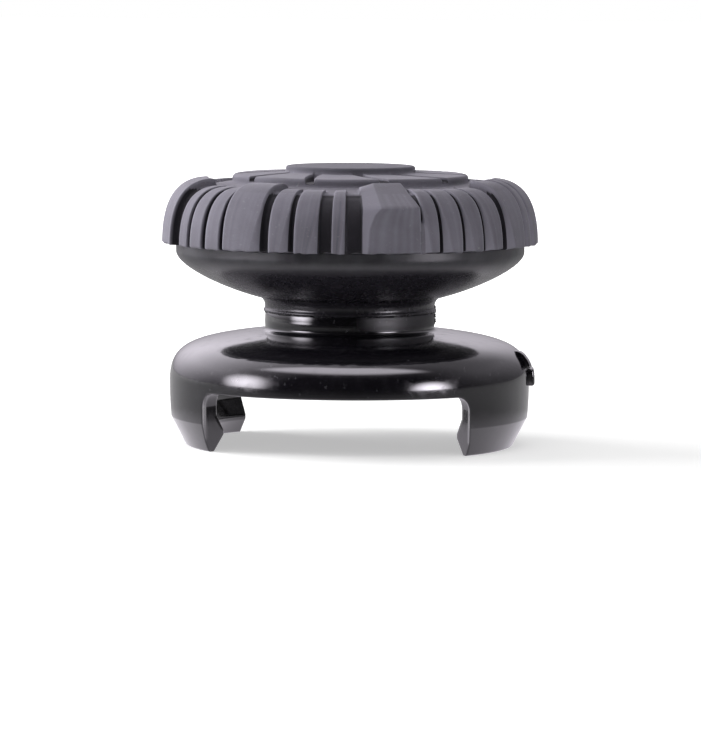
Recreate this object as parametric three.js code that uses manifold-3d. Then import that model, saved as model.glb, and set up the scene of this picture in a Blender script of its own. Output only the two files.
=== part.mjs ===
// Controller thumb grip: a rubber tread over a carrier dish, whose peg is glued into a clip base.
// Millimetres, +Z up. The origin is on the axis, in the plane of the prong tips that the grip stands on.
// The windows between the two prongs face -Y and +Y. An azimuth is in degrees from -Y, turning towards +X.
import * as THREE from "three";
import { ConvexGeometry } from "three/addons/geometries/ConvexGeometry.js";
import { mergeVertices } from "three/addons/utils/BufferGeometryUtils.js";
import Module from "manifold-3d";

const wasm = await Module();
wasm.setup();

// Clip base
const skirtRadius = 11;
const skirtDraft = 0.1;
const skirtWall = 1.7;
const domeStart = 4.42;
const domeRise = 2.31;
const domeInset = 3.3;
const seatHeight = 5.1;
const seatCornerRadius = 0.7;
const tipChamferHeight = 1.75;
const tipChamferInset = 1;
const tipWidth = 0.5;
const hookReach = 0.66;
const hookTop = 2.16;
const hookCatch = 1.2;
const hookLeadIn = 0.95;
const windowHeight = 3.66;
const windowKnee = { halfWidth: 7.95, depth: 6.6 };
const windowOuterFlare = 7;
const windowInnerFlare = 29;
const windowCornerRadius = 0.95;

// Raised index bars on one side of the clip base
const barProud = 0.35;
const barRoot = 0.6;
const indexBars = [
  { from: 89.5, to: 102, bottom: 3.7, top: 4.78 },
  { from: 84.5, to: 89, bottom: 4.84, top: 5.9 },
];

// Neck, shared by the clip base and the carrier dish
const neckRadius = 5.2;
const neckFoot = 6.86;
const neckSeam = 8.15;
const boreRadius = 3.9;
const glueGap = 0.1;
const pegSetback = 0.15;

// Carrier dish
const dishRadius = 10.65;
const dishRim = 11.84;
const throatTop = 8.5;
const throatFillet = 0.6;
const dishBelly = { radius: 7.7, height: 9.6 };
const dishFlank = 10.9;
const treadSeat = 12.34;
const treadSeatLedge = 0.4;
const platformHeight = 15.05;
const platformRadius = 8.5;
const platformShoulder = 13.6;

// Rubber tread, with its heights measured up from the seat on the dish
const treadRadius = 11.5;
const treadHeight = 4.76;
const bondGap = 0.06;
const shoulderBelly = 1.9;
const shoulderKnee = { radius: 11, height: 3.65 };
const shoulderTop = { radius: 8.9, height: 3.66 };
const slotDepth = 0.62;
const slotTop = { radius: 9.35, height: 3.26 };
const bandEdge = { radius: 8.9, height: 3.44 };
const bandTop = { radius: 7.35, height: 3.7 };
const ringRadius = 7.2;
const ringHeight = 4.2;
const ringBevel = 0.2;
const hubRadius = 3.95;
const hubFoot = 4.34;
const hubRoot = 3.2;
const hubBevel = 0.16;
const ringGrooves = 10;
const ringGrooveStart = 17.8;
const ringGrooveWidth = 0.5;
const ringGrooveFloor = 3.9;
const ringGrooveSkew = 14;

// Shoulder lugs: how far each kind stands over the plain shoulder and how far in it reaches
const lugRootFlare = 0.12;
const lugFlankDrop = 0.6;
const lugFlankShare = 0.45;
const lugFlankTop = 2.5;
const lugRoots = [{ radius: 9.6, height: 2.75 }, { radius: 10.68, height: 0.9 }];
const reachRaise = 0.3;
const finRaise = 0.38;
const lugInner = 8.65;
const lugBury = 0.3;
const reachInner = 7.75;
const blockFace = { radius: 11.2, height: 2.72 };
const blockTop = { radius: 8, height: 4.06 };

// Half a turn of the shoulder, in degrees. Each pitch is a gap, a wide lug, then narrow lugs after their gaps.
// What is left over is the gap before the next half. The sloped flank of a pitch's lugs faces one way round,
// +1 towards rising azimuth and -1 the other way, or there is none at 0.
const shoulderStart = -83.6;
const shoulderPitches = [
  { gap: 0, first: "fin", wide: 18.7, rest: "plain", narrow: [[7.9, 4.7], [2, 5.6], [2.1, 5.7]], flank: 0 },
  { gap: 2, first: "reach", wide: 13, rest: "plain", narrow: [[3.3, 6.1], [2, 7.2], [4.2, 4]], flank: 1 },
  {
    gap: 5, first: "block", wide: 18.2, rest: "plain",
    narrow: [[1.1, 4.8], [1.6, 6.5], [1.8, 6.3], [1.8, 6.9]], flank: -1,
  },
  { gap: 3.9, first: "fin", wide: 9.7, rest: "fin", narrow: [[1.9, 3.7], [2.1, 7], [2, 5.2]], flank: -1 },
];

const turnSegments = 72;
const curveSteps = 5;
const degree = Math.PI / 180;
const outside = 14;

// Turns a drawn shape into a closed solid that can be joined and cut.
function solidFrom(geometry) {
  const bare = geometry.clone();
  bare.deleteAttribute("normal");
  bare.deleteAttribute("uv");
  const merged = mergeVertices(bare, 1e-5);
  const corners = merged.index.array;
  const kept = [];
  for (let i = 0; i < corners.length; i += 3) {
    const [a, b, c] = [corners[i], corners[i + 1], corners[i + 2]];
    if (a !== b && b !== c && c !== a) kept.push(a, b, c);
  }
  return new wasm.Manifold(new wasm.Mesh({
    numProp: 3,
    vertProperties: new Float32Array(merged.attributes.position.array),
    triVerts: new Uint32Array(kept),
  }));
}

// Turns a finished solid back into a drawn shape.
function geometryFrom(solid) {
  const mesh = solid.getMesh();
  const geometry = new THREE.BufferGeometry();
  geometry.setAttribute("position", new THREE.BufferAttribute(mesh.vertProperties, 3));
  geometry.setIndex(new THREE.BufferAttribute(mesh.triVerts, 1));
  return geometry;
}

// Turns a closed section of [radius, height] points about the axis, azimuth 0 facing -Y.
function turned(section) {
  const points = [...section, section[0]].map(([radius, height]) => new THREE.Vector2(radius, height));
  return solidFrom(new THREE.LatheGeometry(points, turnSegments).rotateX(Math.PI / 2));
}

// Points along a curve as [radius, height] pairs, both ends included.
function along(curve, steps = curveSteps) {
  return curve.getPoints(steps).map((point) => [point.x, point.y]);
}

function ellipseArc(centre, radii, from, to, steps = curveSteps) {
  const clockwise = to < from;
  const arc = new THREE.EllipseCurve(...centre, ...radii, from * degree, to * degree, clockwise);
  return along(arc, steps);
}

function bezier(start, startPull, endPull, end) {
  const corner = ([x, y]) => new THREE.Vector2(x, y);
  return along(new THREE.CubicBezierCurve(corner(start), corner(startPull), corner(endPull), corner(end)));
}

// A plan position on a circle of the given radius.
function planPoint(radius, azimuth) {
  return [radius * Math.sin(azimuth * degree), -radius * Math.cos(azimuth * degree)];
}

// A prism standing on a plan outline, from one height to another.
function prism(outline, bottom, top) {
  const shape = new THREE.Shape(outline.map(([x, y]) => new THREE.Vector2(x, y)));
  const geometry = new THREE.ExtrudeGeometry(shape, { depth: top - bottom, bevelEnabled: false });
  return geometry.translate(0, 0, bottom);
}

function domeRadiusAt(height) {
  const climb = Math.max(height - domeStart, 0) / domeRise;
  return skirtRadius - domeInset + domeInset * Math.sqrt(1 - climb * climb);
}

// How much wider the opening is at a depth than on the axis: its sides flare less past the knee.
function windowWidening(depth) {
  const inner = Math.tan(windowInnerFlare * degree) * Math.min(depth, windowKnee.depth);
  return inner + Math.tan(windowOuterFlare * degree) * Math.max(depth - windowKnee.depth, 0);
}

// The opening between the prongs that faces -Y: round top corners, and sides that flare outwards.
function windowCutter() {
  const half = windowKnee.halfWidth - windowWidening(windowKnee.depth);
  const corner = windowHeight - windowCornerRadius;
  const shape = new THREE.Shape();
  shape.moveTo(-half, -1);
  shape.lineTo(half, -1);
  shape.lineTo(half, corner);
  shape.absarc(half - windowCornerRadius, corner, windowCornerRadius, 0, Math.PI / 2);
  shape.absarc(windowCornerRadius - half, corner, windowCornerRadius, Math.PI / 2, Math.PI);
  const options = { depth: windowKnee.depth * 2, steps: 2, bevelEnabled: false, curveSegments: 5 };
  const geometry = new THREE.ExtrudeGeometry(shape, options).rotateX(Math.PI / 2);
  const position = geometry.attributes.position;
  for (let i = 0; i < position.count; i += 1) {
    const x = position.getX(i);
    position.setX(i, x + Math.sign(x) * windowWidening(-position.getY(i)));
  }
  return geometry;
}

// A bar standing proud of the skirt, which follows the curve of the dome.
function indexBar({ from, to, bottom, top }) {
  const ring = turned([
    [domeRadiusAt(top) - barRoot, bottom],
    [domeRadiusAt(bottom) + barProud, bottom],
    [domeRadiusAt(top) + barProud, top],
    [domeRadiusAt(top) - barRoot, top],
  ]);
  const sector = prism([[0, 0], planPoint(outside, from), planPoint(outside, to)], 0, treadSeat);
  return ring.intersect(solidFrom(sector));
}

function clipBase() {
  const wall = skirtRadius - skirtWall;
  const hook = wall - hookReach;
  const tipOuter = skirtRadius - tipChamferInset;
  const domeCentre = [skirtRadius - domeInset, domeStart];
  const seatCorner = [wall - seatCornerRadius, seatHeight - seatCornerRadius];
  const body = turned([
    [tipOuter - tipWidth, 0],
    [tipOuter, 0],
    [skirtRadius - skirtDraft, tipChamferHeight],
    ...ellipseArc(domeCentre, [domeInset, domeRise], 0, 90),
    [neckRadius, neckFoot],
    [neckRadius, neckSeam],
    [boreRadius, neckSeam],
    [boreRadius, seatHeight],
    ...ellipseArc(seatCorner, [seatCornerRadius, seatCornerRadius], 90, 0, 4),
    [wall, hookTop],
    [hook, hookCatch],
    [hook, hookLeadIn],
  ]);
  const frontWindow = solidFrom(windowCutter());
  const backWindow = solidFrom(windowCutter().rotateZ(Math.PI));
  const skirt = body.subtract(frontWindow).subtract(backWindow);
  return indexBars.reduce((solid, bar) => solid.add(indexBar(bar)), skirt);
}

function carrierDish() {
  const peg = boreRadius - glueGap;
  const core = dishRadius - treadSeatLedge;
  const throatCentre = [neckRadius + throatFillet, throatTop];
  return turned([
    [0, seatHeight + pegSetback],
    [peg, seatHeight + pegSetback],
    [peg, neckSeam],
    [neckRadius, neckSeam],
    ...ellipseArc(throatCentre, [throatFillet, throatFillet], 180, 105, 3),
    ...bezier(
      [throatCentre[0], throatTop + throatFillet],
      [dishBelly.radius, dishBelly.height],
      [dishRadius, dishFlank],
      [dishRadius, dishRim],
    ),
    [dishRadius, treadSeat],
    [core, treadSeat],
    [core, platformShoulder],
    [platformRadius, platformHeight],
    [0, platformHeight],
  ]);
}

// The plain shoulder, from its bottom edge up to where it meets the band round the crown.
function shoulderCurve(depth, end) {
  return bezier(
    [treadRadius - depth, 0],
    [treadRadius - depth, shoulderBelly],
    [shoulderKnee.radius - depth, shoulderKnee.height - depth / 2],
    [end.radius, end.height],
  );
}

function onSeat(section) {
  return section.map(([radius, height]) => [radius, treadSeat + height]);
}

// The body of the tread. Its shoulder is the floor of the slots, and slanting grooves part its ring in blocks.
function treadBody() {
  const core = dishRadius - treadSeatLedge + bondGap;
  const platform = platformHeight - treadSeat;
  const body = turned(onSeat([
    [core, 0],
    ...shoulderCurve(slotDepth, slotTop),
    [bandEdge.radius, bandEdge.height],
    [bandTop.radius, bandTop.height],
    [ringRadius, ringHeight - ringBevel],
    [ringRadius - ringBevel, ringHeight],
    [hubRadius, hubFoot],
    [0, hubFoot],
    [0, platform],
    [platformRadius + bondGap * 2, platform],
    [core, platformShoulder - treadSeat],
  ]));
  const hub = turned(onSeat([
    [0, hubRoot],
    [hubRadius, hubRoot],
    [hubRadius, treadHeight - hubBevel],
    [hubRadius - hubBevel, treadHeight - hubBevel / 3],
    [0, treadHeight],
  ]));
  let grooved = body;
  for (let i = 0; i < ringGrooves; i += 1) {
    grooved = grooved.subtract(ringGroove(ringGrooveStart + (360 / ringGrooves) * i));
  }
  return grooved.add(hub);
}

// A strip across the ring, from under the hub out past the ring's wall.
function ringGroove(azimuth) {
  const [x0, y0] = planPoint(hubRadius - ringGrooveWidth, azimuth - ringGrooveSkew / 2);
  const [x1, y1] = planPoint(bandTop.radius + ringGrooveWidth, azimuth + ringGrooveSkew / 2);
  const length = Math.hypot(x1 - x0, y1 - y0);
  const strip = new THREE.BoxGeometry(length, ringGrooveWidth, 1);
  strip.rotateZ(Math.atan2(y1 - y0, x1 - x0));
  strip.translate((x0 + x1) / 2, (y0 + y1) / 2, treadSeat + ringGrooveFloor + 0.5);
  return solidFrom(strip);
}

// The outer surface of each kind of lug, turned all the way round, with its root inside the tread body.
function lugRing(kind) {
  const roots = lugRoots.map(({ radius, height }) => [radius, height]);
  const base = [lugRoots[1].radius, 0];
  const buried = bandTop.height - reachRaise;
  const plain = shoulderCurve(0, shoulderTop);
  const lift = (raise) => plain.map(([radius, height], i) => [radius, height + (raise * i) / curveSteps]);
  const innerEnd = (raise) => [
    [lugInner, shoulderTop.height + raise],
    [lugInner, bandEdge.height - lugBury],
  ];
  const outer = {
    plain: [...plain, ...innerEnd(0)],
    reach: [
      ...lift(reachRaise),
      [reachInner + reachRaise, bandTop.height + reachRaise / 2],
      [reachInner, buried],
    ],
    fin: [...lift(finRaise), ...innerEnd(finRaise)],
    block: [
      [treadRadius, 0],
      [blockFace.radius, blockFace.height],
      [blockTop.radius, blockTop.height],
      [reachInner, buried],
    ],
  }[kind];
  return turned(onSeat([base, ...outer, ...roots]));
}

// The space that one lug takes: its root is wider than its face, and one flank slopes away downwards.
function lugSector(from, to, flank) {
  const rootRadius = treadRadius - slotDepth;
  const outer = treadRadius + lugRootFlare;
  const reach = (outer - rootRadius) / slotDepth;
  const width = (to - from) * degree * treadRadius;
  const flare = lugRootFlare / treadRadius / degree;
  const drop = Math.min(lugFlankDrop, width * lugFlankShare) / treadRadius / degree;
  const levels = [
    { height: -lugRootFlare, slope: drop * reach },
    { height: lugFlankTop, slope: 0 },
    { height: treadHeight, slope: 0 },
  ];
  const points = levels.flatMap(({ height, slope }) => [
    [bandTop.radius, from - flare],
    [rootRadius, from - flare],
    [outer, from - flare + flare * reach + (flank < 0 ? slope : 0)],
    [outer, to + flare - flare * reach - (flank > 0 ? slope : 0)],
    [rootRadius, to + flare],
    [bandTop.radius, to + flare],
  ].map(([radius, azimuth]) => new THREE.Vector3(...planPoint(radius, azimuth), treadSeat + height)));
  return solidFrom(new ConvexGeometry(points));
}

// Every lug of the shoulder as its kind, sector and flank: the half turn of pitches, twice. Only the first half
// turn has fins, and in the second one plain lugs take their place.
function shoulderLugs() {
  const lugs = [];
  for (const turn of [0, 180]) {
    const kindHere = (kind) => (turn > 0 && kind === "fin" ? "plain" : kind);
    let azimuth = shoulderStart + turn;
    for (const { gap, first, wide, rest, narrow, flank } of shoulderPitches) {
      azimuth += gap;
      lugs.push({ kind: kindHere(first), from: azimuth, to: azimuth + wide, flank });
      azimuth += wide;
      for (const [before, width] of narrow) {
        azimuth += before;
        lugs.push({ kind: kindHere(rest), from: azimuth, to: azimuth + width, flank });
        azimuth += width;
      }
    }
  }
  return lugs;
}

function treadCap() {
  const kinds = ["plain", "reach", "fin", "block"];
  const rings = Object.fromEntries(kinds.map((kind) => [kind, lugRing(kind)]));
  return shoulderLugs().reduce(
    (tread, { kind, from, to, flank }) => tread.add(rings[kind].intersect(lugSector(from, to, flank))),
    treadBody(),
  );
}

// Adds one finished piece to the grip, with a material of its own.
function addPiece(group, name, solid, color, roughness) {
  const material = new THREE.MeshStandardMaterial({ color, roughness, metalness: 0, flatShading: true });
  const mesh = new THREE.Mesh(geometryFrom(solid), material);
  mesh.name = name;
  group.add(mesh);
}

const grip = new THREE.Group();
addPiece(grip, "clip_base", clipBase(), 0x0c0c0e, 0.12);
addPiece(grip, "carrier_dish", carrierDish(), 0x17171a, 0.35);
addPiece(grip, "tread_cap", treadCap(), 0x56555c, 0.85);

export default grip;
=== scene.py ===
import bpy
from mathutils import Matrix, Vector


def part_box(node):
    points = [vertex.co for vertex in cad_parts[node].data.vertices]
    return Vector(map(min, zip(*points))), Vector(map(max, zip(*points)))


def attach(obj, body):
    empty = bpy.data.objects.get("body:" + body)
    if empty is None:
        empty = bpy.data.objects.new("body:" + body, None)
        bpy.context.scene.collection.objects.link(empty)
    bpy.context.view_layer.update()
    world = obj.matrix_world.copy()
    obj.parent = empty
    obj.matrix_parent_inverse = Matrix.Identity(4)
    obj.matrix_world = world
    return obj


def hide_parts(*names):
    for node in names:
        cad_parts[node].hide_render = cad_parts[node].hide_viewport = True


bl_info = {
    "name": "Controller Thumb Grip",
    "version": (1, 0, 0),
    "blender": (4, 5, 0),
    "location": "3D View > Sidebar > Thumb Grip",
    "description": "Builds a clip-on thumb grip: clip base, carrier dish and rubber tread",
    "category": "Add Mesh",
}

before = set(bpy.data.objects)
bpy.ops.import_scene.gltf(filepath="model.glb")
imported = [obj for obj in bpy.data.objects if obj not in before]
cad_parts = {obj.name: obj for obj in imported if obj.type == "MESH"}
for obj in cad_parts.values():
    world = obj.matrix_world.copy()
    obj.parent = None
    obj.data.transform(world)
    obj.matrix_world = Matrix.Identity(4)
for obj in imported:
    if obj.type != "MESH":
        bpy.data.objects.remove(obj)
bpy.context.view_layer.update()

import math

import bmesh
import bpy
import numpy as np
from bpy.props import FloatProperty, FloatVectorProperty, IntProperty, PointerProperty
from mathutils import Matrix, Vector

# Everything below is worked out in millimetres and put into the meshes in metres.
MM = 0.001
BODY = "root"
CAD_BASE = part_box("clip_base")
CAD_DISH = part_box("carrier_dish")
CAD_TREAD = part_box("tread_cap")
TREAD_SEAT = CAD_TREAD[0][2] / MM
GRIP_TOP = CAD_TREAD[1][2] / MM
TREAD_RADIUS = CAD_TREAD[1][1] / MM
DISH_RADIUS = CAD_DISH[1][0] / MM
NECK_SEAM = CAD_BASE[1][2] / MM
PEG_END = CAD_DISH[0][2] / MM

# Soft lights that only gloss shows: azimuth, elevation and spread in degrees, and level
GLOSS_LIGHTS = ((-64, 8, 20, 14.0), (60, 0, 17, 22.0), (-125, 35, 50, 1.4))
GLOSS_TINT = (0.96, 0.91, 1.0)
GLOW_POWER = 1.5

# The rest of the studio that gloss shows, by the direction's X, Y and Z. Each pair of pairs is a range and
# the levels at its two ends. The bright back starts at BACK_EDGE in Y, and on the right it leans away.
BACK_LEAN = 0.33
BACK_EDGE = (-0.8, -0.1)
BACK_BY_HEIGHT = ((0.0, 0.4), (0.4, 1.5))
BACK_BY_SIDE = ((-0.1, 0.5), (1.0, 0.42))
OVERHEAD = ((0.45, 0.95), (0.0, 0.45))
STRIP_BOTTOM = ((0.64, 0.76), (0.0, 1.0))
STRIP_TOP = ((0.93, 0.96), (1.0, 0.0))
STRIP_FRONT = ((-0.34, -0.2), (1.0, 0.0))

# The paper, in metres: its glow by the distance from the axis, and how much gloss dims its front along Y
PAPER_GLOW = ((0.03, 0.09), (0.45, 1.0))
PAPER_IN_GLOSS = ((0.014, 0.024), (1.9, 0.34))
PAPER_FRONT = ((-0.06, -0.02), (0.95, 0.58))
PAPER_COLOUR = (0.8, 0.8, 0.8)
PAPER_HALF_SIDE = 1.5

# Lamps for diffuse light: azimuth and elevation in degrees, distance and size in metres, and the setting of
# the level with the lamp's share of it
SOFTBOXES = {
    "left_softbox": (-100, 14, 0.4, (0.42, 0.34), "key_level", 1.0),
    "front_strip": (5, 45, 0.4, (0.5, 0.06), "strip_level", 0.6),
    "right_softbox": (92, 16, 0.4, (0.4, 0.3), "fill_level", 1.0),
    "top_softbox": (180, 70, 0.45, (0.4, 0.3), "top_level", 1.0),
}

# The photograph's camera
FRAME_WIDTH = 701
FRAME_HEIGHT = 738
FOCAL_PIXELS = 4900
SENSOR = 36.0
CAMERA_AZIMUTH = 6.4
CAMERA_DISTANCE = 299
CAMERA_HEIGHT = 31
CAMERA_SIDE = 0.06
CAMERA_PITCH = 5.05
CAMERA_ROLL = 0.3


def length_prop(name, description, millimetres):
    return FloatProperty(
        name=name, description=description, default=millimetres * MM, unit="LENGTH", precision=5
    )


def level_prop(name, description, value):
    return FloatProperty(name=name, description=description, default=value, min=0.0)


def colour_prop(name, description, value):
    return FloatVectorProperty(
        name=name, description=description, default=value, subtype="COLOR", size=3, min=0.0, max=1.0
    )


class BaseSettings(bpy.types.PropertyGroup):
    skirt_radius: length_prop("Skirt radius", "Outer radius of the clip's skirt at its widest", 11)
    wall: length_prop("Wall", "Thickness of the skirt above the hooks", 1.7)
    neck_radius: length_prop("Neck radius", "Radius of the neck ring above the dome", 5.2)
    seat_height: length_prop("Seat height", "Height of the flat seat inside the clip", 5.1)
    hook_reach: length_prop("Hook reach", "How far the hooks stand in from the wall", 0.66)
    window_height: length_prop("Window height", "Top of the openings between the prongs", 3.66)
    window_half_width: length_prop("Window half width", "Half width of the openings at the knee", 7.95)
    colour: colour_prop("Base colour", "Gloss black of the clip base", (0.005, 0.0045, 0.0065))


class DishSettings(bpy.types.PropertyGroup):
    ledge: length_prop("Tread ledge", "Width of the ledge that the tread's edge sits on", 0.4)
    throat_fillet: length_prop("Throat fillet", "Radius between the neck and the belly", 0.6)
    flash: length_prop("Flash", "How far the flash at the seam stands out at most", 0.13)
    colour: colour_prop("Dish colour", "Satin black of the carrier dish", (0.017, 0.0155, 0.02))


class TreadSettings(bpy.types.PropertyGroup):
    slot_depth: length_prop("Slot depth", "Depth of the slots between the shoulder lugs", 0.62)
    flank_drop: length_prop("Flank width", "Width of the sloped flank at a lug's foot", 0.6)
    ring_radius: length_prop("Ring radius", "Outer radius of the ring of low blocks", 7.2)
    hub_radius: length_prop("Hub radius", "Radius of the centre disc", 3.95)
    ring_grooves: IntProperty(name="Ring grooves", description="Grooves in the ring", default=10, min=1)
    colour: colour_prop("Tread colour", "Dark grey of the rubber", (0.132, 0.126, 0.152))


class StageSettings(bpy.types.PropertyGroup):
    key_level: level_prop("Key level", "Radiance of the left softbox", 8.4)
    fill_level: level_prop("Fill level", "Radiance of the right softbox", 0.4)
    top_level: level_prop("Top level", "Radiance of the top softbox", 0.7)
    strip_level: level_prop("Strip level", "Front strip in gloss; its lamp has a share of it", 5.0)
    world_level: level_prop("World level", "Even light from all round", 0.36)
    front_level: level_prop("Front level", "Gloss reflection of the front", 0.02)


def profile(*pieces):
    """Joins lists of (radius, height) points into one array with one row a point."""
    return np.vstack([np.atleast_2d(np.asarray(piece, dtype=float)) for piece in pieces])


def cubic(points, stations):
    """A cubic curve: its four control points weighed by the cubic Bernstein terms of t, t from 0 to 1."""
    t = stations[:, None]
    weights = [(1 - t) ** 3, 3 * t * (1 - t) ** 2, 3 * t**2 * (1 - t), t**3]
    return sum(w * np.array(p, dtype=float) for w, p in zip(weights, points))


def bezier(start, start_pull, end_pull, end, steps):
    """A cubic curve from start to end, drawn towards the two pulls, in even steps of t."""
    return cubic((start, start_pull, end_pull, end), np.linspace(0.0, 1.0, steps + 1))


def arc(centre, radii, start, end, steps):
    """A stretch of an ellipse: the centre plus the half axes times the cosine and sine of the angle."""
    angle = np.radians(np.linspace(start, end, steps + 1))
    return np.column_stack([centre[0] + radii[0] * np.cos(angle), centre[1] + radii[1] * np.sin(angle)])


def straight(start, end, steps):
    """Evenly spaced points from one point to the other."""
    return np.linspace(start, end, steps + 1)


def full_turn(count):
    """Angles round a full turn: the step is the turn over their count, and the end isn't drawn twice."""
    return np.linspace(0, 2 * np.pi, count + 1)[:-1]


def smooth_step(low, high, value):
    """0 below low, 1 above high, and the cubic 3t^2 - 2t^3 between."""
    t = np.clip((value - low) / (high - low), 0.0, 1.0)
    return t * t * (3.0 - 2.0 * t)


def ripple(azimuth, seed, octaves):
    """A fixed wavy line round the axis: sines whose number of waves and phase come from a seeded table."""
    rng = np.random.default_rng(seed)
    waves = rng.integers(3, 9 * octaves, size=4 * octaves)
    phases = rng.uniform(0, 2 * np.pi, size=4 * octaves)
    return np.sin(np.multiply.outer(azimuth, waves) + phases).mean(axis=-1) * math.sqrt(len(waves))


def turned(radius, height, azimuth):
    """Points of a surface of revolution: azimuth 0 faces -Y and turns towards +X."""
    return np.stack([radius * np.sin(azimuth), -radius * np.cos(azimuth), height + 0 * azimuth], axis=-1)


def grid_faces(rows, columns, wrap_rows=False, wrap_columns=True, start=0):
    """Quads between neighbouring rows and columns of a grid, closed on itself where asked."""
    row = np.arange(rows if wrap_rows else rows - 1)[:, None]
    column = np.arange(columns if wrap_columns else columns - 1)[None, :]
    next_row = (row + 1) % rows
    next_column = (column + 1) % columns
    corners = [row * columns + column, row * columns + next_column,
               next_row * columns + next_column, next_row * columns + column]
    return start + np.stack(corners, axis=-1).reshape(-1, 4)


def place(name, data):
    """An object for a mesh, a lamp or a camera, in the scene."""
    thing = bpy.data.objects.new(name, data)
    bpy.context.scene.collection.objects.link(thing)
    return thing


def mesh_piece(name, points, faces, attributes=None):
    """Makes a closed, smooth mesh from points in millimetres, with doubles merged and faces outwards."""
    mesh = bpy.data.meshes.new(name)
    mesh.vertices.add(len(points))
    mesh.vertices.foreach_set("co", (points * MM).astype(np.float32).ravel())
    mesh.loops.add(faces.size)
    mesh.loops.foreach_set("vertex_index", faces.astype(np.int32).ravel())
    mesh.polygons.add(len(faces))
    mesh.polygons.foreach_set("loop_start", np.arange(0, faces.size, 4, dtype=np.int32))
    mesh.polygons.foreach_set("use_smooth", np.ones(len(faces), dtype=bool))
    for key, values in (attributes or {}).items():
        layer = mesh.attributes.new(key, "FLOAT", "POINT")
        layer.data.foreach_set("value", values.astype(np.float32).ravel())
    mesh.update(calc_edges=True)
    mesh.validate()
    work = bmesh.new()
    work.from_mesh(mesh)
    bmesh.ops.remove_doubles(work, verts=work.verts, dist=2e-7)
    bmesh.ops.dissolve_degenerate(work, edges=work.edges, dist=1e-8)
    bmesh.ops.recalc_face_normals(work, faces=work.faces)
    work.to_mesh(mesh)
    work.free()
    return place(name, mesh)


# Clip base: heights and radii that its outline needs besides the settings
TIP_CHAMFER = 1.75
TIP_INSET = 1.0
TIP_WIDTH = 0.5
SKIRT_DRAFT = 0.1
SHOULDER_START = 4.0
SHOULDER_PULL = 6.15
DOME_PULL = (9.6, 6.5)
DOME_FOOT = (6.2, 6.93)
SEAT_FILLET = 0.7
HOOK_TOP = 2.16
HOOK_CATCH = 1.2
HOOK_LEAD_IN = 0.95
BORE = 3.9
WINDOW_KNEE_DEPTH = 6.6
WINDOW_FLARES = (math.radians(29), math.radians(7))
WINDOW_CORNER = 0.95
RIM_ROUNDING = 0.09
ROUNDING_STEPS = np.array([0.0, 0.006, 0.02, 0.04, 0.065, 0.09])

# Heights of a prong's rows between its rounded tip and the window's corner, closer at chamfer and hook
PRONG_ROWS = np.array([
    0.15, 0.35, 0.6, 0.85, 0.95, 1.05, 1.2, 1.3, 1.45, 1.6, 1.68, 1.72, 1.75, 1.78, 1.82,
    1.95, 2.08, 2.16, 2.24, 2.4, 2.55,
])
PRONG_WIDTH = 18
PRONG_COLUMNS = np.linspace(0.012, 0.988, 64)
LIP_COLUMNS = 71


def rounding(distance, radius):
    """Depth of a quarter circle that rounds an edge: full at the edge, nothing a radius away from it."""
    inset = radius - np.clip(distance, 0.0, radius)
    return radius - np.sqrt(radius**2 - inset**2)


def skirt_radius_at(height, settings):
    """Outer radius of a prong: a straight chamfer from the tip, then a shallow parabola to the shoulder."""
    widest = settings.skirt_radius / MM
    tip = widest - TIP_INSET
    chamfer_top = widest - SKIRT_DRAFT
    sag = (SHOULDER_START - height) / (SHOULDER_START - TIP_CHAMFER)
    return np.where(
        height < TIP_CHAMFER,
        tip + (chamfer_top - tip) * height / TIP_CHAMFER,
        widest - SKIRT_DRAFT * sag**2,
    )


def hook_radius_at(height, settings):
    """Inner radius of a prong over the height: a broken line of lead-in, hook face, catch ramp and wall."""
    wall = (settings.skirt_radius - settings.wall) / MM
    hook = wall - settings.hook_reach / MM
    tip = settings.skirt_radius / MM - TIP_INSET - TIP_WIDTH
    return np.interp(height, [0.0, HOOK_LEAD_IN, HOOK_CATCH, HOOK_TOP], [tip, hook, hook, wall])


def knee_radius(settings):
    """Radius at which the two planes of a window's side meet."""
    return math.hypot(settings.window_half_width / MM, WINDOW_KNEE_DEPTH)


def flare_azimuth(radius, settings):
    """Azimuth at which a circle meets a window's side: one plane inside the knee, another outside it."""
    half = settings.window_half_width / MM
    inside, outside = (
        flare + np.arcsin((half * math.cos(flare) - WINDOW_KNEE_DEPTH * math.sin(flare)) / radius)
        for flare in WINDOW_FLARES
    )
    return np.where(radius < knee_radius(settings), inside, outside)


def through_wall(start, end, settings):
    """Radii from one wall to the other on a new last axis, one of them on the knee if it lies between."""
    knee = np.clip(knee_radius(settings), np.minimum(start, end), np.maximum(start, end))
    before = [start + (knee - start) * share for share in (0.0, 0.35, 0.7)]
    after = [knee + (end - knee) * share for share in (0.0, 0.2, 0.4, 0.6, 0.8, 1.0)]
    return np.stack(before + after, axis=-1)


def side_azimuth(radius, height, settings):
    """The window's side with its corner: the plane's azimuth less what a quarter circle takes off it."""
    rise = np.clip(height - (settings.window_height / MM - WINDOW_CORNER), 0.0, WINDOW_CORNER)
    narrowing = WINDOW_CORNER - np.sqrt(WINDOW_CORNER**2 - rise**2)
    return flare_azimuth(radius, settings) - narrowing / (settings.skirt_radius / MM)


def rim_distance(azimuth, radius, height, settings):
    """Distance along the wall to the nearest window edge or prong tip: a rounded box laid round the skirt."""
    widest = settings.skirt_radius / MM
    folded = np.abs((azimuth + np.pi / 2) % np.pi - np.pi / 2)
    across = widest * (folded - flare_azimuth(radius, settings)) + WINDOW_CORNER
    above = height - settings.window_height / MM + WINDOW_CORNER
    outside = np.hypot(np.maximum(across, 0), np.maximum(above, 0))
    inside = np.minimum(np.maximum(across, above), 0)
    return np.minimum(outside + inside - WINDOW_CORNER, height)


def prong_azimuth(radius, height, across, settings):
    """Azimuth of a point of the +X prong, across running from its front side at 0 to its back side at 1."""
    side = side_azimuth(radius, height, settings)
    return side + across * (np.pi - 2 * side)


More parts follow.
